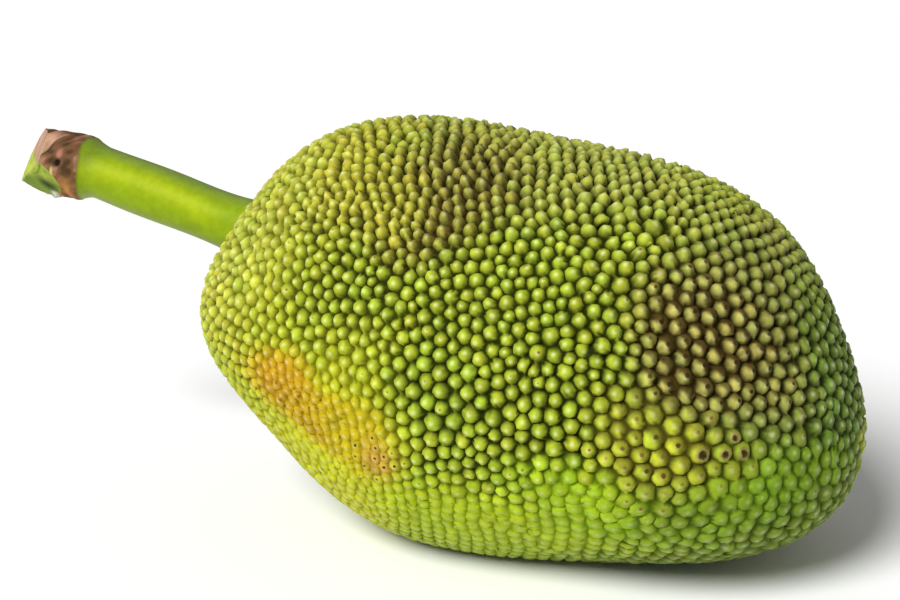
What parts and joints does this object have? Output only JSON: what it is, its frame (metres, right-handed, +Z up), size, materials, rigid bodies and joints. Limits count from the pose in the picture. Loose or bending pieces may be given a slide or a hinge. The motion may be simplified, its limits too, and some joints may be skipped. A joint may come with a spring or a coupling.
{
  "type": "jackfruit",
  "caption": "Whole jackfruit lying on its side, a blunt oval body covered in small rounded tubercles, with a straight cut stalk.",
  "frame": {"origin": "on the surface it rests on, under the middle of the whole object's bounding box", "axes": "+Z up; +X along the fruit from the stalk towards the blossom end; Y across the fruit"},
  "size_m": [0.4278, 0.1994, 0.1884],
  "materials": {
    "rind": "green rind of small blunt tubercles, low sheen",
    "stalk": "smooth green living stalk, satin, with a brown corky cut end"
  },
  "bodies": {
    "root": {"fruit": "rind", "stalk": "stalk"}
  },
  "joints": []
}
